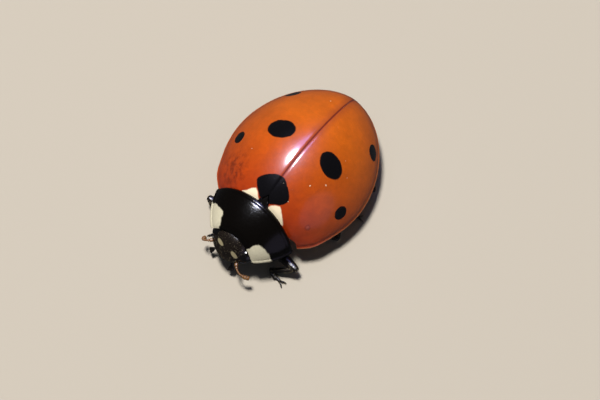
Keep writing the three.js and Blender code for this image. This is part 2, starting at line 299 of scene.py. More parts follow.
# Chitin of the wing cases: an orange-red pigment, soft-edged in its shine, under a clear waxy skin that
# mirrors lamps more sharply, with pin-prick pits.
case_red, tree, shader = material("orange_red_chitin")
mm = beetle_place(tree)
wobble = node(tree, "TexNoise", {"Vector": mm, "Scale": 2.2, "Detail": 3})
WOBBLE = 0.12  # the markings' edges wander by half of this to either side
warped = node(tree, "VectorMath", {0: wobble.outputs["Color"], 1: (WOBBLE,) * 3}, operation="MULTIPLY")
warped = node(tree, "VectorMath", {0: mm, 1: warped}, operation="ADD")
warped = node(tree, "VectorMath", {0: warped, 1: (-WOBBLE / 2,) * 3}, operation="ADD")
parts = node(tree, "SeparateXYZ", {"Vector": mm})
lengthwise = node(tree, "MapRange", {"Value": parts.outputs["Y"], 1: -2.5, 2: 1.2})
pigment = node(tree, "ValToRGB", {"Fac": lengthwise})
pigment.color_ramp.elements[0].color = hex_colour("ab3203")
pigment.color_ramp.elements[1].color = hex_colour("cb6207")
middle = pigment.color_ramp.elements.new(0.45)
middle.color = hex_colour("bb4e03")
cloud = node(tree, "TexNoise", {"Vector": mm, "Scale": 1.3, "Detail": 5, "Roughness": 0.65})
CLOUD = (0.86, 1.07)  # the least and the most pigment
cloud = node(tree, "MapRange", {"Value": cloud, 1: 0.3, 2: 0.7, 3: CLOUD[0], 4: CLOUD[1]})
streaks = node(tree, "TexNoise", {
    "Vector": mm, "Scale": 4.5, "Detail": 6, "Roughness": 0.7, "Distortion": 0.6})
streaks = node(tree, "MapRange", {"Value": streaks, 1: 0.3, 2: 0.7, 3: 0.88, 4: 1.1})
cloudy = node(tree, "Math", {0: cloud, 1: streaks}, operation="MULTIPLY")
pigment = node(tree, "VectorMath", {0: pigment, "Scale": cloudy}, operation="SCALE")
# The outer front quarter of the right wing case is mottled brown.
MOTTLE_AT = (-1.68, -1.72, 1.9)
away = node(tree, "VectorMath", {0: mm, 1: MOTTLE_AT}, operation="DISTANCE").outputs["Value"]
away = node(tree, "MapRange", {
    "Value": away, 1: 0.25, 2: 1.05, 3: 0.6, 4: 0}, interpolation_type="SMOOTHSTEP")
mottle = node(tree, "TexNoise", {"Vector": mm, "Scale": 5.5, "Detail": 5, "Roughness": 0.6})
mottle = node(tree, "MapRange", {"Value": mottle, 1: 0.46, 2: 0.6})
mottle = node(tree, "Math", {0: mottle, 1: away}, operation="MULTIPLY")
pigment = node(tree, "Mix", {0: mottle, 6: pigment, 7: hex_colour("5c1c06")}, data_type="RGBA")
# The seam is drawn as a thin dark line, and towards the lower edge the pigment is darkened by painted
# shade.
from_seam = node(tree, "Math", {0: parts.outputs["X"]}, operation="ABSOLUTE")
seam_line = node(tree, "MapRange", {"Value": from_seam, 1: 0.012, 2: 0.045, 3: 0.9, 4: 0})
painted_low_shade = node(tree, "MapRange", {"Value": parts.outputs["Z"], 1: RIM + 0.05, 2: RIM + 0.5, 3: 0.22, 4: 0})
deep = node(tree, "Math", {0: seam_line, 1: painted_low_shade}, operation="MAXIMUM")
colour = node(tree, "Mix", {0: deep, 6: pigment, 7: hex_colour("5e1606")}, data_type="RGBA")
# Within 0.3 mm of the seam a purplish-brown painted shade deepens towards it.
painted_seam_shade = node(tree, "MapRange", {
    "Value": from_seam, 1: 0.02, 2: 0.3, 3: 0.35, 4: 0}, interpolation_type="SMOOTHSTEP")
colour = node(tree, "Mix", {0: painted_seam_shade, 6: colour, 7: hex_colour("7a2c28")}, data_type="RGBA")
# Along the rim the colour is painted paler, as a painted highlight on its edge.
painted_rim_highlight = node(tree, "MapRange", {"Value": parts.outputs["Z"], 1: RIM + 0.02, 2: RIM + 0.06, 3: 0.7, 4: 0})
colour = node(tree, "Mix", {0: painted_rim_highlight, 6: colour, 7: hex_colour("e39a66")}, data_type="RGBA")

NO_LIMIT = 1e4  # more than any distance on the insect; as a radius it reaches through its whole depth


def diamond(tree, place, x, y, across, along, power):
    """0 at the middle of a round-cornered diamond on the back and 1 on its edge."""
    local = node(tree, "Mapping", {
        "Vector": place, "Location": (x, y, 0), "Scale": (across, along, NO_LIMIT)}, vector_type="TEXTURE")
    local = node(tree, "VectorMath", {0: local}, operation="ABSOLUTE")
    local = node(tree, "SeparateXYZ", {"Vector": local})
    sideways = node(tree, "Math", {0: local.outputs["X"], 1: power}, operation="POWER")
    lengthways = node(tree, "Math", {0: local.outputs["Y"], 1: power}, operation="POWER")
    return node(tree, "Math", {0: lengthways, 1: sideways}, operation="ADD")


def nearest_mark(tree, place, marks):
    """0 at the middle of the nearest ellipsoid and 1 on its edge; each has its middle, radii and turns."""
    nearest = NO_LIMIT
    for middle, radii, turns in marks:
        local = node(tree, "Mapping", {
            "Vector": place, "Location": middle, "Rotation": [math.radians(turn) for turn in turns],
            "Scale": radii}, vector_type="TEXTURE")
        reach = node(tree, "VectorMath", {0: local}, operation="LENGTH").outputs["Value"]
        nearest = node(tree, "Math", {0: nearest, 1: reach}, operation="MINIMUM")
    return nearest


# The pale marks, one on either side of the scutellum.
pale = node(tree, "Math", {
    0: diamond(tree, warped, -0.52, -2.28, 0.42, 0.34, 1.15),
    1: diamond(tree, warped, 0.52, -2.28, 0.42, 0.34, 1.15)}, operation="MINIMUM")
pale = node(tree, "MapRange", {
    "Value": pale, 1: 0.88, 2: 1.08, 3: 1, 4: 0}, interpolation_type="SMOOTHSTEP")
colour = node(tree, "Mix", {0: pale, 6: colour, 7: hex_colour("fff3da")}, data_type="RGBA")
# Six spots lie in pairs, each given by its x, y, three radii and its turn in degrees. A spot high on the
# back has no limit in depth. The seventh is shared by both wing cases, over the scutellum.
SPOTS = [
    (1.04, 0.185, 0.475, 0.375, NO_LIMIT, -24), (-1.06, 0.185, 0.485, 0.375, NO_LIMIT, 22),
    (2.18, -0.605, 0.28, 0.25, 0.27, 0), (-2.18, -0.605, 0.27, 0.24, 0.27, 0),
    (1.70, 1.88, 0.3, 0.27, 0.29, 0), (-1.76, 1.9, 0.27, 0.27, 0.29, 0),
]
shared = node(tree, "Math", {
    0: diamond(tree, warped, 0, -1.67, 0.67, 0.49, 1.5),
    1: diamond(tree, warped, 0, -2.25, 0.2, 0.4, 2)}, operation="MINIMUM")
paired = nearest_mark(tree, warped, [
    ((x, y, RIM + case_rise(x, y)), radii, (0, 0, turn)) for x, y, *radii, turn in SPOTS])
nearest = node(tree, "Math", {0: shared, 1: paired}, operation="MINIMUM")
black = node(tree, "MapRange", {
    "Value": nearest, 1: 0.93, 2: 1.03, 3: 1, 4: 0}, interpolation_type="SMOOTHSTEP")
colour = node(tree, "Mix", {0: black, 6: colour, 7: hex_colour("060507")}, data_type="RGBA")
# A few pale specks, 0.03 to 0.06 mm across.
crumbled = node(tree, "TexNoise", {"Vector": mm, "Scale": 14, "Detail": 4})
CRUMBLE = 0.06
crumbled = node(tree, "VectorMath", {0: crumbled.outputs["Color"], 1: (CRUMBLE,) * 3}, operation="MULTIPLY")
crumbled = node(tree, "VectorMath", {0: mm, 1: crumbled}, operation="ADD")
pale_specks = node(tree, "TexVoronoi", {"Vector": crumbled, "Scale": 2.6, "Randomness": 1})
size = node(tree, "MapRange", {"Value": pale_specks.outputs["Color"], 1: 0.35, 2: 1, 3: -0.02, 4: 0.11})
pale_specks = node(tree, "Math", {0: size, 1: pale_specks.outputs["Distance"]}, operation="SUBTRACT")
pale_specks = node(tree, "MapRange", {"Value": pale_specks, 1: -0.01, 2: 0.015, 3: 0, 4: 0.8})
colour = node(tree, "Mix", {0: pale_specks, 6: colour, 7: hex_colour("e8dccb")}, data_type="RGBA")
# A healed scar, 0.2 mm across, in front on the left wing case.
SCAR_AT = (1.646, -1.76, 1.829)
scar = node(tree, "VectorMath", {0: warped, 1: SCAR_AT}, operation="DISTANCE").outputs["Value"]
raised = node(tree, "MapRange", {
    "Value": scar, 1: 0.03, 2: 0.1, 3: 1, 4: 0}, interpolation_type="SMOOTHSTEP")
scar = node(tree, "MapRange", {"Value": scar, 1: 0.08, 2: 0.14, 3: 0.5, 4: 0})
colour = node(tree, "Mix", {0: scar, 6: colour, 7: hex_colour("501010")}, data_type="RGBA")
scar = node(tree, "Math", {0: raised, 1: 0.6}, operation="MULTIPLY")
colour = node(tree, "Mix", {0: scar, 6: colour, 7: hex_colour("c4604c")}, data_type="RGBA")
# Pits: about 0.02 mm wide and 0.09 mm apart, with a faint leathery grain between.
pits = node(tree, "TexVoronoi", {"Vector": mm, "Scale": 12, "Randomness": 0.8})
pits = node(tree, "MapRange", {"Value": pits.outputs["Distance"], 1: 0.12, 2: 0.38})
grain = node(tree, "TexNoise", {"Vector": mm, "Scale": 9, "Detail": 6, "Roughness": 0.6})
height = node(tree, "Math", {0: pits, 1: 0.7}, operation="MULTIPLY")
height = node(tree, "Math", {0: grain, 1: height}, operation="ADD")
height = node(tree, "Math", {0: raised, 1: 4, 2: height}, operation="MULTIPLY_ADD")
bump = node(tree, "Bump", {"Height": height, "Strength": 0.38, "Distance": 0.006 * MM})
gloss = node(tree, "MapRange", {"Value": cloud, 1: CLOUD[0], 2: CLOUD[1], 3: 0.42, 4: 0.36})
gloss = node(tree, "Math", {0: black, 1: -0.16, 2: gloss}, operation="MULTIPLY_ADD")  # spots are smoother
fill(shader, {
    "Base Color": colour, "Normal": bump, "Roughness": gloss, "IOR": 1.34,
    "Specular Tint": hex_colour("e6e0ff"), "Coat Weight": 0.9, "Coat Roughness": 0.17})


def sheet(across, along, move):
    """A grid from -1 to 1 both ways, shaped by a rule."""
    clear_selection()
    bpy.ops.mesh.primitive_grid_add(x_subdivisions=across, y_subdivisions=along, size=2)
    made = bpy.context.object
    reshape(made, move)
    mend(made)
    return made


left_case = sheet(72, 110, lambda p: case_point((p.x + 1) / 2 * (1 + FOLD_SHARE), (p.y + 1) / 2))
finish_modifiers(left_case, SOLIDIFY={"thickness": WALL, "offset": -1})
# The inner wall crosses the outer one at the very tip, so it is pressed back.
TIP_OVER = 0.012
reshape(left_case, lambda p: Vector((p.x, min(p.y, CASE["rear"] + TIP_OVER), p.z)))
right_case = copy_of(left_case)
reshape(right_case, lambda p: Vector((-p.x, p.y, p.z)))
mend(right_case, 0.0001)
settle(left_case, "wing_case_left", case_red, "elytron_left")
settle(right_case, "wing_case_right", case_red, "elytron_right")

# ---------------------------------------------------------------- scutellum
# A small triangular plate between the roots of the wing cases, set level with them, point to the rear.
# It is the same black, glossy chitin as the pronotum.


def pitted(tree, shader, mm, pit_scale, pit_edge, grain_scale, strength, depth):
    """Bumps a black plate with pits, pit_scale to a millimetre, and grain between; returns the grain."""
    pits = node(tree, "TexVoronoi", {"Vector": mm, "Scale": pit_scale, "Randomness": 0.8})
    pits = node(tree, "MapRange", {"Value": pits.outputs["Distance"], 1: 0.12, 2: pit_edge})
    grain = node(tree, "TexNoise", {"Vector": mm, "Scale": grain_scale, "Detail": 5, "Roughness": 0.6})
    height = node(tree, "Math", {0: grain, 1: pits}, operation="ADD")
    bump = node(tree, "Bump", {"Height": height, "Strength": strength, "Distance": depth * MM})
    fill(shader, {"Normal": bump})
    return grain


# Polished black chitin: a hard mirror that the pits break into sparks. They are drawn 0.07 mm apart.
black_shell, tree, shader = material("polished_black_chitin")
mm = beetle_place(tree)
grain = pitted(tree, shader, mm, 15, 0.38, 14, 0.4, 0.003)
depth = node(tree, "MapRange", {"Value": grain, 1: 0.3, 2: 0.7, 3: 0, 4: 1})
colour = node(tree, "Mix", {0: depth, 6: hex_colour("050403"), 7: hex_colour("0e0a0b")}, data_type="RGBA")
gloss = node(tree, "MapRange", {"Value": grain, 1: 0.3, 2: 0.7, 3: 0.16, 4: 0.24})
fill(shader, {
    "Base Color": colour, "Roughness": gloss, "IOR": 1.5, "Coat Weight": 0.2, "Coat Roughness": 0.08})


def scutellum_point(p):
    """A point of the small triangle, crowned a little and rolled down at its edges."""
    back = (p.y + 1) / 2
    x = p.x * SEAT["half"] * (1 - back)
    y = JOINT_Y - 0.04 + (SEAT["length"] + 0.03) * back
    edge = (1 - abs(p.x)) * (1 - back) * SEAT["half"]
    crown = 0.02 * smooth(edge, 0, 0.12)
    rolled = 0.03 * (1 - smooth(edge, 0, 0.03)) ** 2
    return Vector((x, y, RIM + case_rise(x, y) - 0.012 + crown - rolled))


scutellum = sheet(20, 20, scutellum_point)
PLATE = 0.07
finish_modifiers(scutellum, SOLIDIFY={"thickness": PLATE, "offset": -1})
settle(scutellum, "scutellum_plate", black_shell, "scutellum")

# ---------------------------------------------------------------- pronotum
# The shield over the front of the thorax: one piece of black, glossy chitin, arched like a saddle, with
# a raised bead along its sides and rear edge and a white patch in each front corner. Its rear edge is
# hinged to the body just in front of the wing cases, and here it is turned a little to one side.
FORE_TURN = math.radians(-3.6)
SHIELD = {"half": 1.63, "front": 1.8, "top": 1.14, "base": RIM + 0.26, "widest": -2.2}
SHIELD_PLAN, SHIELD_ARCH = 1.75, 1.55  # powers of its oval and of its cross-section
NECK = {"y": -5.98, "radius": 2.5}  # the round cut-out in front, where the head sits


def turned_about(y, angle):
    """A turn about an upright axis through the midline."""
    centre = Matrix.Translation((0, y, 0))
    return centre @ Matrix.Rotation(angle, 4, "Z") @ centre.inverted()


FORE = turned_about(JOINT_Y, FORE_TURN)


def shield_point(side, forward):
    """A point of the pronotum: side runs from -1 to 1, forward from the rear edge (0) to the front (1)."""
    s = math.sin(side * math.pi / 2)
    x = 1.5 * s
    for _ in range(8):
        rear = JOINT_Y - joint_line(x)
        front = NECK["y"] + math.sqrt(max(0, NECK["radius"] ** 2 - x * x))
        y = rear + (front - rear) * forward
        reach = min(1, max(0, (SHIELD["widest"] - y) / SHIELD["front"]))
        share = (1 - reach ** SHIELD_PLAN) ** (1 / SHIELD_PLAN)
        x = s * SHIELD["half"] * share
    z = SHIELD["top"] * share * max(0, 1 - s * s) ** (1 / SHIELD_ARCH)
    from_rear = rear - y
    from_front = y - front
    z *= 1 - 0.09 * from_rear
    # The rear edge rolls down behind a fine furrow, and the front edge slopes to the neck.
    z -= 0.07 * (1 - smooth(from_rear, 0, 0.07)) ** 2 + 0.012 * bell(from_rear, 0.12, 0.025)
    z -= 0.05 * (1 - smooth(from_front, 0, 0.06)) ** 2
    z -= 0.06 * (1 - smooth(from_front, 0, 0.2)) ** 2 * (1 - s * s)
    bead = 0.04 * (1 - smooth(z, 0.02, 0.07)) - 0.008 * bell(z, 0.08, 0.02)
    place = Vector((x, y, SHIELD["base"] + max(0, z)))
    place += Vector((x, (y + 2.6) * 0.6, 0)).normalized() * bead * abs(s) ** 6
    return place


shield = sheet(96, 64, lambda p: FORE @ shield_point(p.x, (1 + p.y) / 2))
finish_modifiers(shield, SOLIDIFY={"thickness": PLATE, "offset": 1})

# Polished black chitin that is chalk-white in its front corners, where it holds no black pigment.
shield_look, tree, shader = material("black_chitin_with_white_corners")
mm = beetle_place(tree)
grain = pitted(tree, shader, mm, 15, 0.38, 14, 0.4, 0.003)
wobble = node(tree, "TexNoise", {"Vector": mm, "Scale": 4, "Detail": 3})
wobble = node(tree, "MapRange", {"Value": wobble, 1: 0.3, 2: 0.7, 3: -0.03, 4: 0.03})
# Each patch has a steep inner edge and a flatter rear edge, which meet in a round corner. Given are the
# corner and the directions away from the two edges.
PATCHES = [
    ((0.746, -3.257, 0), (0.812, -0.584, 0), (-0.03, -1.0, 0)),
    ((-0.95, -3.1, 0), (-0.921, -0.39, 0), (-0.336, -0.942, 0)),
]
white = -NO_LIMIT
for corner, off_inner, off_rear in PATCHES:
    local = node(tree, "VectorMath", {0: mm, 1: corner}, operation="SUBTRACT")
    inner = node(tree, "VectorMath", {0: local, 1: off_inner}, operation="DOT_PRODUCT")
    rear = node(tree, "VectorMath", {0: local, 1: off_rear}, operation="DOT_PRODUCT")
    inside = node(tree, "Math", {
        0: inner.outputs["Value"], 1: rear.outputs["Value"], 2: 0.12}, operation="SMOOTH_MIN")
    white = node(tree, "Math", {0: white, 1: inside}, operation="MAXIMUM")
white = node(tree, "Math", {0: white, 1: wobble}, operation="ADD")
white = node(tree, "MapRange", {"Value": white, 1: -0.02, 2: 0.03}, interpolation_type="SMOOTHSTEP")
chalk = node(tree, "Mix", {0: grain, 6: hex_colour("bdbaa6"), 7: hex_colour("dad7c8")}, data_type="RGBA")
colour = node(tree, "Mix", {0: white, 6: hex_colour("070504"), 7: chalk}, data_type="RGBA")
gloss = node(tree, "MapRange", {"Value": grain, 1: 0.3, 2: 0.7, 3: 0.13, 4: 0.2})
fill(shader, {"Base Color": colour, "Roughness": gloss, "IOR": 1.36})
settle(shield, "pronotum_shield", shield_look, "pronotum")

# ---------------------------------------------------------------- underside
# Plates of satin black chitin close the body below: the prosternum under the shield, two broad
# thoracic plates that hold the middle and hind hips, and the belly's five overlapping rings.
# Unpolished black chitin: a leathery grain and coarse pits, drawn 0.11 mm apart, keep its shine soft.
under_look, tree, shader = material("satin_black_underside_chitin")
mm = beetle_place(tree)
grain = node(tree, "TexNoise", {"Vector": mm, "Scale": 10, "Detail": 6, "Roughness": 0.65})
pits = node(tree, "TexVoronoi", {"Vector": mm, "Scale": 9})
pits = node(tree, "MapRange", {"Value": pits.outputs["Distance"], 1: 0.05, 2: 0.22})
height = node(tree, "Math", {0: grain, 1: pits}, operation="ADD")
bump = node(tree, "Bump", {"Height": height, "Strength": 0.7, "Distance": 0.01 * MM})
colour = node(tree, "Mix", {0: grain, 6: hex_colour("0b0908"), 7: hex_colour("1d1815")}, data_type="RGBA")
# A cream patch on each side of the middle thorax, beside the shield's rear corner.
patch = nearest_mark(tree, mm, [((x, -1.72, 0.9), (0.3, 0.2, 0.3), (0, 0, 0)) for x in (-1.5, 1.5)])
patch = node(tree, "MapRange", {"Value": patch, 1: 0.9, 2: 1.05, 3: 1, 4: 0})
colour = node(tree, "Mix", {0: patch, 6: colour, 7: hex_colour("d9d3bd")}, data_type="RGBA")
gloss = node(tree, "MapRange", {"Value": grain, 1: 0.3, 2: 0.7, 3: 0.3, 4: 0.45})
fill(shader, {"Base Color": colour, "Normal": bump, "Roughness": gloss})

BODY = {"half": 2.1, "rear": 2.65, "front": -2.46, "top": 1.6, "keel": 0.25}
BODY_RIDGE = 1.7  # power of the line along its top
RINGS = [0.34, 0.98, 1.42, 1.8, 2.14, 2.75]  # where the belly's rings meet
RING_STEP = 0.07


def around(p):
    """How far a unit ball's point is from its long axis, and which way: share sideways and share up."""
    ring = math.hypot(p.x, p.z)
    return (ring, p.x / ring, p.z / ring) if ring > 1e-6 else (ring, 0, 0)


def body_point(p):
    """A unit ball's point on the body under the wing cases, its belly rings stepped like shingles."""
    end = "rear" if p.y >= 0 else "front"
    reach = abs(p.y) ** (2 / PLAN[end])
    y = reach * BODY[end]
    ring, side, up = around(p)
    width = BODY["half"] * ring ** (2 / PLAN[end])
    share = (1 - reach ** BODY_RIDGE) ** (1 / BODY_RIDGE)
    if up >= 0:
        z = BODY["top"] * share * up ** (2 / ARCH)
    else:
        z = -BODY["keel"] * share ** 0.5 * (-up) ** 0.7
        for start, stop in zip(RINGS, RINGS[1:]):
            if start < y <= stop:
                z += RING_STEP * (1 - (y - start) / (stop - start)) * abs(up) ** 0.5
    return Vector((width * side, y, RIM + z))


def unit_ball(segments, rings):
    """A ball with its poles in front and behind."""
    clear_selection()
    bpy.ops.mesh.primitive_uv_sphere_add(
        segments=segments, ring_count=rings, radius=1, rotation=(math.pi / 2, 0, 0))
    bpy.ops.object.transform_apply()
    return bpy.context.object


def cut_length(start, end):
    """A copy of the body between two cross-sections, closed at both ends."""
    length = unit_ball(72, 96)
    reshape(length, body_point)
    bpy.ops.object.mode_set(mode="EDIT")
    for y, keep in ((start, 1), (end, -1)):
        bpy.ops.mesh.select_all(action="SELECT")
        bpy.ops.mesh.bisect(plane_co=(0, y, 0), plane_no=(0, -keep, 0), use_fill=True, clear_outer=True)
    bpy.ops.object.mode_set(mode="OBJECT")
    return length


for name, start, end, node_name in (
        ("middle_thorax", -2.2, -1.24, "mesothorax"),
        ("hind_thorax", -1.24, 0.3, "metathorax"),
        ("belly", 0.3, 2.75, "abdomen")):
    length = cut_length(start, end)
    mend(length)
    finish_modifiers(length, BEVEL={"width": 0.025, "segments": 2, "limit_method": "ANGLE"})
    settle(length, name, under_look, node_name)


def breast_point(p):
    """The prosternum: a shallow keel between the front hips, flat above, thin towards its edges."""
    y = -2.45 + (0.42 if p.y > 0 else 0.95) * p.y
    x = 1.5 * math.copysign(abs(p.x) ** 0.85, p.x) * (1 if p.y > 0 else 1 - 0.25 * p.y * p.y)
    z = SHIELD["base"] - 0.02 + (0.04 if p.z > 0 else 0.48) * p.z
    z -= 0.05 * bell(p.x, 0, 0.12) * max(0, -p.z)
    return FORE @ Vector((x, y, z))


breast = unit_ball(56, 32)
reshape(breast, breast_point)
mend(breast)
settle(breast, "breast_plate", under_look, "prosternum")

# ---------------------------------------------------------------- head
# A short, broad capsule of black chitin, sunk to the eyes in the shield. Between the eyes it carries
# two small cream marks, and its front edge overhangs the mouth as a lip.
NECK_Y = -3.1
HEAD_TURN = math.radians(-4.4)  # on top of the shield's own turn
HEAD = FORE @ turned_about(NECK_Y, HEAD_TURN)
HEAD_SIZE = {"half": 0.76, "back": 0.78, "front": -0.66, "top": 0.76, "chin": 0.46}
HEAD_MIDDLE = Vector((0, -3.46, RIM + 0.02))
# The shield's chitin with a coarser grain: its shine is duller and broken up.
head_look, tree, shader = material("black_head_chitin")
mm = beetle_place(tree)
grain = pitted(tree, shader, mm, 16, 0.4, 12, 0.5, 0.004)
BROW_RADII = (0.165, 0.09, 0.075)
cream = nearest_mark(tree, mm, [
    ((-0.442, -3.877, 1.35), BROW_RADII, (0, -4, -22)), ((0.197, -3.949, 1.32), BROW_RADII, (0, 30, -8))])
cream = node(tree, "MapRange", {
    "Value": cream, 1: 0.8, 2: 1.1, 3: 1, 4: 0}, interpolation_type="SMOOTHSTEP")
colour = node(tree, "Mix", {0: grain, 6: hex_colour("0c0908"), 7: hex_colour("221b16")}, data_type="RGBA")
colour = node(tree, "Mix", {0: cream, 6: colour, 7: hex_colour("968e74")}, data_type="RGBA")
fill(shader, {"Base Color": colour, "Roughness": 0.26})


def head_point(p):
    """A unit ball's point on the head: sloping brow, pinched at the eyes, with a lip over the mouth."""
    ring, side, up = around(p)
    reach = abs(p.y) ** 0.8
    power = 1.6 if p.y < 0 else 2
    share = (1 - reach ** power) ** (1 / power)
    x = HEAD_SIZE["half"] * ring ** 0.8 * side
    y = HEAD_MIDDLE.y + HEAD_SIZE["back" if p.y > 0 else "front"] * reach
    z = HEAD_SIZE["top" if up > 0 else "chin"] * share * up
    x -= 0.12 * side * bell(y, -3.52, 0.3) * bell(z, 0.12, 0.3)  # hollows for the eyes
    front = smooth(-p.y, 0.45, 0.9)
    y += 0.025 * front * bell(z, 0.1, 0.03) * bell(x, 0, 0.3)  # a crease over the lip,
    y -= 0.06 * front * bell(z, -0.02, 0.08) * bell(x, 0, 0.3)  # the lip itself
    y += 0.05 * front * bell(z, -0.22, 0.1)  # and the mouth's recess below it
    z -= 0.03 * bell(x, 0, 0.08) * smooth(up, 0.5, 1) * (1 - front)  # a furrow along the crown
    return HEAD @ Vector((x, y, HEAD_MIDDLE.z + z))


head = unit_ball(64, 48)
reshape(head, head_point)
mend(head)
settle(head, "head_capsule", head_look, "head")

# ---------------------------------------------------------------- eyes
# Compound eyes: black domes at the sides of the head, half under the shield's front corners, each
# faceted with hundreds of lenses 0.02 mm across.
EYE_AT = (0.61, -3.53, RIM + 0.15)
EYE_RADII = (0.28, 0.34, 0.33)
# Clear cornea over black pigment: a wet mirror, broken into points by the facets.
eye_look, tree, shader = material("faceted_black_cornea")
mm = beetle_place(tree)
lenses = node(tree, "TexVoronoi", {"Vector": mm, "Scale": 38, "Randomness": 0.15})
bump = node(tree, "Bump", {"Height": lenses.outputs["Distance"], "Strength": 0.6, "Distance": 0.006 * MM})
bump.invert = True
colour = node(tree, "Mix", {
    0: lenses.outputs["Distance"], 6: hex_colour("0d0c10"), 7: hex_colour("040404")}, data_type="RGBA")
fill(shader, {"Base Color": colour, "Normal": bump, "Roughness": 0.12, "Coat Weight": 0.4})
SIDES = (("left", 1), ("right", -1))


def eye_point(p, way):
    """An egg-shaped dome, notched in front by the cheek."""
    notch = 0.2 * bell(p.y, -0.5, 0.35) * bell(p.z, -0.4, 0.4)
    x = EYE_AT[0] + EYE_RADII[0] * p.x * (1 - notch)
    return HEAD @ Vector((way * x, EYE_AT[1] + EYE_RADII[1] * p.y, EYE_AT[2] + EYE_RADII[2] * p.z))


for side, way in SIDES:
    clear_selection()
    bpy.ops.mesh.primitive_uv_sphere_add(segments=40, ring_count=28, radius=1)
    eye = bpy.context.object
    reshape(eye, lambda p: eye_point(p, way))
    mend(eye)
    settle(eye, "eye_lens_" + side, eye_look, "eye_" + side)

# ---------------------------------------------------------------- feelers
# Each antenna is a chain of eleven brown joints from the front of the eye: a stout root joint, a
# slender stalk, and a club of three broader joints at the tip.


def brown_chitin(name, dark, pale, strength, depth, roughness):
    """A material of cloudy brown chitin with a faint grain, its depth in beetle millimetres."""
    look, tree, shader = material(name)
    grain = node(tree, "TexNoise", {"Vector": beetle_place(tree), "Scale": 9, "Detail": 5})
    colour = node(tree, "Mix", {0: grain, 6: hex_colour(dark), 7: hex_colour(pale)}, data_type="RGBA")
    bump = node(tree, "Bump", {"Height": grain, "Strength": strength, "Distance": depth * MM})
    fill(shader, {"Base Color": colour, "Normal": bump, "Roughness": roughness})
    return look


# Thin chitin that never blackened: pale brown, with a soft shine.
feeler_look = brown_chitin("amber_brown_chitin", "4c2f17", "946c40", 0.5, 0.006, 0.34)


def stalk(rings, sides=12):
    """A closed stalk along +X, drawn out of a disc ring by ring: distance, half width, half depth, rise."""
    clear_selection()
    x, wide, deep, rise = rings[0]
    bpy.ops.mesh.primitive_circle_add(
        vertices=sides, radius=1, fill_type="NGON", rotation=(0, math.pi / 2, 0), location=(x, 0, rise))
    made = bpy.context.object
    bpy.ops.object.transform_apply()
    bpy.ops.object.mode_set(mode="EDIT")
    bpy.ops.mesh.select_all(action="SELECT")
    bpy.ops.transform.resize(value=(1, wide, deep), center_override=(x, 0, rise))
    for next_x, next_wide, next_deep, next_rise in rings[1:]:
        bpy.ops.mesh.extrude_region_move(
            TRANSFORM_OT_translate={"value": (next_x - x, 0, next_rise - rise)})
        bpy.ops.transform.resize(
            value=(1, next_wide / wide, next_deep / deep), center_override=(next_x, 0, next_rise))
        x, wide, deep, rise = next_x, next_wide, next_deep, next_rise
    bpy.ops.mesh.select_all(action="SELECT")
    bpy.ops.mesh.normals_make_consistent()
    bpy.ops.object.mode_set(mode="OBJECT")
    return made


def lay_between(obj, root, tip, up=(0, 0, 1), swell=1.0):
    """Puts a stalk of length 1 along +X between two points, stretched to reach, its thickness scaled."""
    ahead = Vector(tip) - Vector(root)
    x = ahead.normalized()
    y = Vector(up).cross(x).normalized()
    z = x.cross(y)
    turn = Matrix((x * ahead.length, y * swell, z * swell)).transposed().to_4x4()
    obj.data.transform(Matrix.Translation(root) @ turn)


def joined(pieces):
    """The pieces as one, which takes the place of the first."""
    clear_selection()
    for each in pieces:
        each.select_set(True)
    bpy.context.view_layer.objects.active = pieces[0]
    bpy.ops.object.join()
    return bpy.context.object


def head_side(obj, way):
    """Puts a piece made for the left of a straight head on one side of the turned head."""
    reshape(obj, lambda p: HEAD @ Vector((way * p.x, p.y, p.z)))
    mend(obj, 0.0001)


bead = stalk([(0, 0.32, 0.32, 0), (0.06, 0.38, 0.38, 0), (0.5, 0.44, 0.44, 0), (0.9, 0.48, 0.48, 0),
              (1, 0.34, 0.34, 0)], 10)
finish_modifiers(bead, SUBSURF={"levels": 1, "render_levels": 1})
# Length and thickness of each joint, from the root.
FEELER = [
    (0.17, 0.15), (0.11, 0.12), (0.13, 0.085), (0.075, 0.08), (0.075, 0.08), (0.07, 0.085),
    (0.07, 0.09), (0.07, 0.1), (0.11, 0.15), (0.11, 0.19), (0.13, 0.18),
]
FEELER_LENGTH = sum(length for length, _ in FEELER)
FEELER_ROOT = Vector((0.56, -3.96, RIM + 0.06))
FEELER_BEND = Vector((0.86, -4.3, RIM - 0.02))
FEELER_TIPS = {"left": Vector((1.2, -3.96, RIM - 0.24)), "right": Vector((0.88, -4.02, RIM - 0.24))}


def feeler_path(tip, t):
    """The feeler's curve from its root (0) over its bend to its tip (1)."""
    return FEELER_ROOT * (1 - t) ** 2 + FEELER_BEND * 2 * t * (1 - t) + tip * t * t


for side, way in SIDES:
    gone = 0
    chain = []
    for length, thick in FEELER:
        start = feeler_path(FEELER_TIPS[side], gone / FEELER_LENGTH)
        gone += length
        end = feeler_path(FEELER_TIPS[side], gone / FEELER_LENGTH)
        link = copy_of(bead)
        lay_between(link, start, end, swell=thick)
        chain.append(link)
    feeler = joined(chain)
    head_side(feeler, way)
    settle(feeler, "feeler_" + side, feeler_look, "antenna_" + side)

# ---------------------------------------------------------------- mouth
# A square lip plate closes the mouth in front. Behind it meet two curved brown jaws, and beside them
# hang the palps, each of three joints with a broad last joint shaped like a hatchet.
# Black chitin with fine dents all over, as on the legs: a broken, satin shine.
leg_look, tree, shader = material("satin_black_leg_chitin")
mm = beetle_place(tree)
grain = node(tree, "TexNoise", {"Vector": mm, "Scale": 11, "Detail": 6, "Roughness": 0.65})
colour = node(tree, "Mix", {0: grain, 6: hex_colour("080706"), 7: hex_colour("1c1512")}, data_type="RGBA")
pits = node(tree, "TexVoronoi", {"Vector": mm, "Scale": 16})
height = node(tree, "Math", {0: grain, 1: pits.outputs["Distance"]}, operation="ADD")
bump = node(tree, "Bump", {"Height": height, "Strength": 0.7, "Distance": 0.008 * MM})
fill(shader, {"Base Color": colour, "Normal": bump, "Roughness": 0.3})

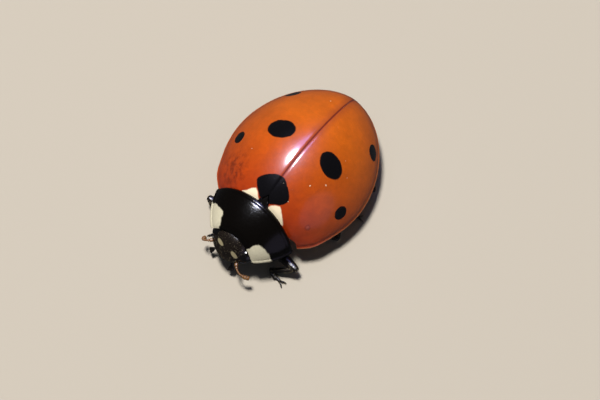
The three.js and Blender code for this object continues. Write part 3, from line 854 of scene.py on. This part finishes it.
LIP = {"y": -4.07, "z": RIM - 0.14, "size": (0.5, 0.14, 0.17)}
clear_selection()
bpy.ops.mesh.primitive_cube_add(size=1, location=(0, LIP["y"], LIP["z"]), scale=LIP["size"])
lip = bpy.context.object
bpy.ops.object.transform_apply()
ROUNDED = {"levels": 2, "render_levels": 2}
finish_modifiers(lip, BEVEL={"width": 0.05, "segments": 2}, SUBSURF=ROUNDED)
reshape(lip, lambda p: HEAD @ (p + Vector((0, 0.25 * p.x * p.x - 0.3 * (p.z - RIM), 0))))
settle(lip, "lip_plate", head_look, "labrum")

# Jaws are of thick, hard chitin, so dark a brown that only their edges show it.
jaw_look = brown_chitin("dark_brown_jaw_chitin", "1c0e07", "4a2a17", 0.4, 0.005, 0.28)
jaw_form = stalk([
    (0, 0.1, 0.12, 0), (0.12, 0.12, 0.13, 0), (0.4, 0.1, 0.1, 0.02), (0.7, 0.07, 0.07, 0.0),
    (0.92, 0.035, 0.035, -0.05), (1, 0.01, 0.01, -0.08)], 10)
palp_form = stalk([
    (0, 0.05, 0.05, 0), (0.05, 0.07, 0.06, 0), (0.2, 0.075, 0.065, 0), (0.25, 0.04, 0.04, 0),
    (0.3, 0.07, 0.06, 0), (0.5, 0.085, 0.07, 0), (0.55, 0.045, 0.045, 0),
    (0.62, 0.09, 0.07, 0), (0.97, 0.17, 0.07, 0), (1, 0.15, 0.05, 0)])
JAW = {"root": (0.22, -3.9, RIM - 0.22), "tip": (0.02, -4.07, RIM - 0.4), "up": (-1, -0.4, 0)}
PALP = {"root": (0.3, -3.82, RIM - 0.28), "tip": (0.5, -4.12, RIM - 0.58), "up": (0.3, -0.6, 0.4)}
finish_modifiers(jaw_form, SUBSURF=ROUNDED)
finish_modifiers(palp_form, SUBSURF=ROUNDED)
for side, way in SIDES:
    jaw = copy_of(jaw_form)
    lay_between(jaw, **JAW, swell=0.72)
    head_side(jaw, way)
    settle(jaw, "jaw_" + side, jaw_look, "mandible_" + side)
    palp = copy_of(palp_form)
    lay_between(palp, **PALP, swell=0.74)
    head_side(palp, way)
    settle(palp, "mouth_palp_" + side, leg_look, "palp_" + side)
for form in (bead, jaw_form, palp_form):
    bpy.data.objects.remove(form)

# ---------------------------------------------------------------- legs
# Six short black legs, drawn in under the body. Each has a round hip set in the breast, a stout thigh
# with a groove for the shank, a slender shank, and a foot of two padded joints and a claw joint.
LEGS = {
    "front_left": ((0.74, -2.62), (2.08, -2.8, 0.56), (1.3, -3.26), (1.86, -3.34)),
    "front_right": ((-0.74, -2.56), (-1.86, -2.62, 0.56), (-0.94, -3.02), (-1.0, -3.46)),
    "mid_left": ((0.86, -1.12), (2.48, -1.02, 0.54), (2.04, -0.14), (2.54, 0.2)),
    "mid_right": ((-0.86, -1.12), (-2.26, -1.22, 0.56), (-1.94, -0.28), (-2.3, 0.24)),
    "hind_left": ((0.84, 0.42), (2.38, 1.18, 0.54), (1.38, 1.94), (1.2, 2.52)),
    "hind_right": ((-0.84, 0.42), (-2.14, 1.2, 0.56), (-1.3, 1.98), (-1.18, 2.58)),
}
HIP_Z, ANKLE_Z, TOE_Z = 0.42, 0.15, 0.075
# A hip's root and tip from the left leg's hip point; the claws, from the toe.
COXA_ROOT, COXA_TIP = Vector((-0.42, -0.02, 0.14)), Vector((-0.04, 0, 0.04))
CLAW = {"back": 0.03, "apart": 0.02, "long": 0.2, "spread": 0.11, "drop": 0.02}
thigh_form = stalk([
    (-0.04, 0.08, 0.07, 0), (0, 0.12, 0.1, 0), (0.12, 0.17, 0.14, 0), (0.4, 0.205, 0.16, 0),
    (0.7, 0.19, 0.15, 0), (0.92, 0.14, 0.12, 0), (1, 0.11, 0.1, 0), (1.04, 0.06, 0.05, 0)])
shank_form = stalk([
    (0, 0.06, 0.06, 0), (0.05, 0.1, 0.09, 0), (0.14, 0.085, 0.08, 0), (0.55, 0.1, 0.085, 0),
    (0.9, 0.125, 0.1, 0), (0.98, 0.12, 0.09, 0), (1, 0.07, 0.06, 0)])
foot_form = stalk([
    (0, 0.04, 0.04, 0), (0.04, 0.06, 0.055, 0), (0.3, 0.12, 0.07, -0.02), (0.34, 0.07, 0.05, 0),
    (0.38, 0.09, 0.055, 0), (0.58, 0.15, 0.065, -0.02), (0.62, 0.06, 0.05, 0),
    (0.66, 0.045, 0.045, 0.02), (0.9, 0.06, 0.055, 0.02), (1, 0.05, 0.045, 0)])
claw_form = stalk([
    (0, 0.035, 0.04, 0), (0.3, 0.035, 0.04, 0.03), (0.6, 0.025, 0.03, 0.03),
    (0.85, 0.015, 0.018, 0), (1, 0.004, 0.005, -0.045)], 8)
hip_form = stalk([
    (0, 0.12, 0.12, 0), (0.1, 0.2, 0.2, 0), (0.5, 0.23, 0.22, 0), (0.85, 0.19, 0.19, 0),
    (0.92, 0.13, 0.13, 0), (1, 0.14, 0.13, 0), (1.2, 0.12, 0.12, 0), (1.25, 0.06, 0.06, 0)])
for form in (thigh_form, shank_form, foot_form, claw_form, hip_form):
    finish_modifiers(form, SUBSURF=ROUNDED)


def grooved(p):
    """The thigh's underside has a shallow groove that takes the shank."""
    p.z += 0.05 * bell(p.y, 0, 0.06) * smooth(-p.z, 0.02, 0.1) * smooth(p.x, 0.4, 0.8)
    return p


reshape(thigh_form, grooved)


def bends(hip, knee, ankle, toe):
    """The four points that a leg runs through, from the hip to the toe."""
    return Vector((*hip, HIP_Z)), Vector(knee), Vector((*ankle, ANKLE_Z)), Vector((*toe, TOE_Z))


for leg, places in LEGS.items():
    hip_at, knee_at, ankle_at, toe_at = bends(*places)
    outward = Vector((math.copysign(1, hip_at.x), 1, 1))
    for part, form, root, tip, node_end in (
            ("hip", hip_form, hip_at + COXA_ROOT * outward, hip_at + COXA_TIP * outward, "coxa"),
            ("thigh", thigh_form, hip_at, knee_at, "femur"),
            ("shank", shank_form, knee_at, ankle_at, "tibia")):
        piece = copy_of(form)
        lay_between(piece, root, tip)
        settle(piece, f"{part}_{leg}", leg_look, f"leg_{leg}_{node_end}")
    ahead = (toe_at - ankle_at).normalized()
    across = Vector((0, 0, 1)).cross(ahead).normalized()
    foot = copy_of(foot_form)
    lay_between(foot, ankle_at, toe_at)
    parts = [foot]
    for way in (-1, 1):
        claw = copy_of(claw_form)
        root = toe_at - ahead * CLAW["back"] + across * way * CLAW["apart"]
        reach = ahead * CLAW["long"] + across * way * CLAW["spread"]
        lay_between(claw, root, root + reach - Vector((0, 0, CLAW["drop"])))
        parts.append(claw)
    foot = joined(parts)
    reshape(foot, lambda p: Vector((p.x, p.y, max(p.z, 0.0))))
    settle(foot, f"foot_{leg}", leg_look, f"leg_{leg}_tarsus")
for form in (thigh_form, shank_form, foot_form, claw_form, hip_form):
    bpy.data.objects.remove(form)

# ---------------------------------------------------------------- bristles
# Pale bristles a tenth of a millimetre long lie back along the legs, the head and the underside. Each
# is a hollow horn of chitin rooted in a pit. They are drawn twice their real 0.005 mm thick, to show.
# Their pale, dull brown gives the black skin under them a dusty bloom.
bristle_look, tree, shader = material("pale_chitin_bristle")
mm = beetle_place(tree)
grain = node(tree, "TexNoise", {"Vector": mm, "Scale": 3, "Detail": 2})
colour = node(tree, "Mix", {0: grain, 6: hex_colour("6b624c"), 7: hex_colour("b4aa90")}, data_type="RGBA")
fill(shader, {"Base Color": colour, "Roughness": 0.45})

clear_selection()
bpy.ops.mesh.primitive_cone_add(vertices=3, radius1=0.005, radius2=0, depth=1, location=(0, 0, 0.5))
bristle = bpy.context.object
bpy.ops.object.transform_apply()
bristle_points = [vertex.co.copy() for vertex in bristle.data.vertices]
bristle_faces = [tuple(face.vertices) for face in bristle.data.polygons]
bpy.data.objects.remove(bristle)


def bristled(name, skins, spacing, length, thick=1.0, grows=lambda place, out: True):
    """One joined piece of bristles over some skins, each skin given with the way its bristles lie."""
    chance = random.Random(name)
    points, faces, patches = [], [], []
    for count, (skin, lie) in enumerate(skins):
        lie = Vector(lie).normalized()
        side = lie.orthogonal().normalized()
        spread = [vertex.co.dot(lie) for vertex in skin.data.vertices]
        middle = sum((vertex.co for vertex in skin.data.vertices), Vector()) / len(skin.data.vertices)
        for face in skin.data.polygons:
            corners = [skin.data.vertices[i].co for i in face.vertices]
            for _ in range(int(face.area / (spacing * MM) ** 2 + chance.random())):
                a, b = chance.random(), chance.random()
                root = corners[0].lerp(corners[1], a).lerp(corners[-1].lerp(corners[2], a), b)
                out = face.normal
                if not grows((root - ORIGIN) / MM, out):
                    continue
                along = lie - out * lie.dot(out)
                if along.length < 0.2:  # the skin stands across the lie
                    continue
                up = (along.normalized() + out * chance.uniform(0.5, 0.9)).normalized()
                across = up.orthogonal().normalized()
                tall = up * length * chance.uniform(0.7, 1.2)
                turn = Matrix((across * thick, up.cross(across) * thick, tall)).transposed()
                start = len(points)
                placed = [root - out * 0.004 * MM + turn @ point * MM for point in bristle_points]
                if min(point.z for point in placed) < 0:  # it would pierce the floor
                    continue
                points += placed
                faces += [tuple(start + i for i in face_points) for face_points in bristle_faces]
                t = (root.dot(lie) - min(spread)) / (max(spread) - min(spread))
                angle = math.atan2((root - middle).dot(lie.cross(side)), (root - middle).dot(side))
                patches.append(((count + t) / len(skins), 0.5 + angle / math.tau))
    mesh = bpy.data.meshes.new(name)
    mesh.from_pydata(points, [], faces)
    piece = bpy.data.objects.new(name, mesh)
    bpy.context.scene.collection.objects.link(piece)
    unwrap = mesh.uv_layers.new(name="OFBake")
    for face in mesh.polygons:
        u, v = patches[face.index // len(bristle_faces)]
        for corner, loop in enumerate(face.loop_indices):
            unwrap.data[loop].uv = (u + 0.003 * (corner % 2), v + 0.003 * (corner // 2))
    mesh.materials.append(bristle_look)
    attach(piece, "root")


leg_skins = []
for leg, places in LEGS.items():
    turns = bends(*places)
    for part, root, tip in zip(("thigh", "shank", "foot"), turns, turns[1:]):
        leg_skins.append((bpy.data.objects[f"{part}_{leg}"], tip - root))
bristled("leg_bristles", leg_skins, 0.085, 0.09)
below = ("breast_plate", "middle_thorax", "hind_thorax", "belly")
below = [(bpy.data.objects[name], (0, 1, 0)) for name in below]
bristled("underside_bristles", below, 0.13, 0.13,
         grows=lambda place, out: out.z < -0.15)
bristled("head_bristles", [(head, (0, -1, 0.15))], 0.09, 0.05, 0.6,
         lambda place, out: out.y < -0.1 and place.z > RIM - 0.25)
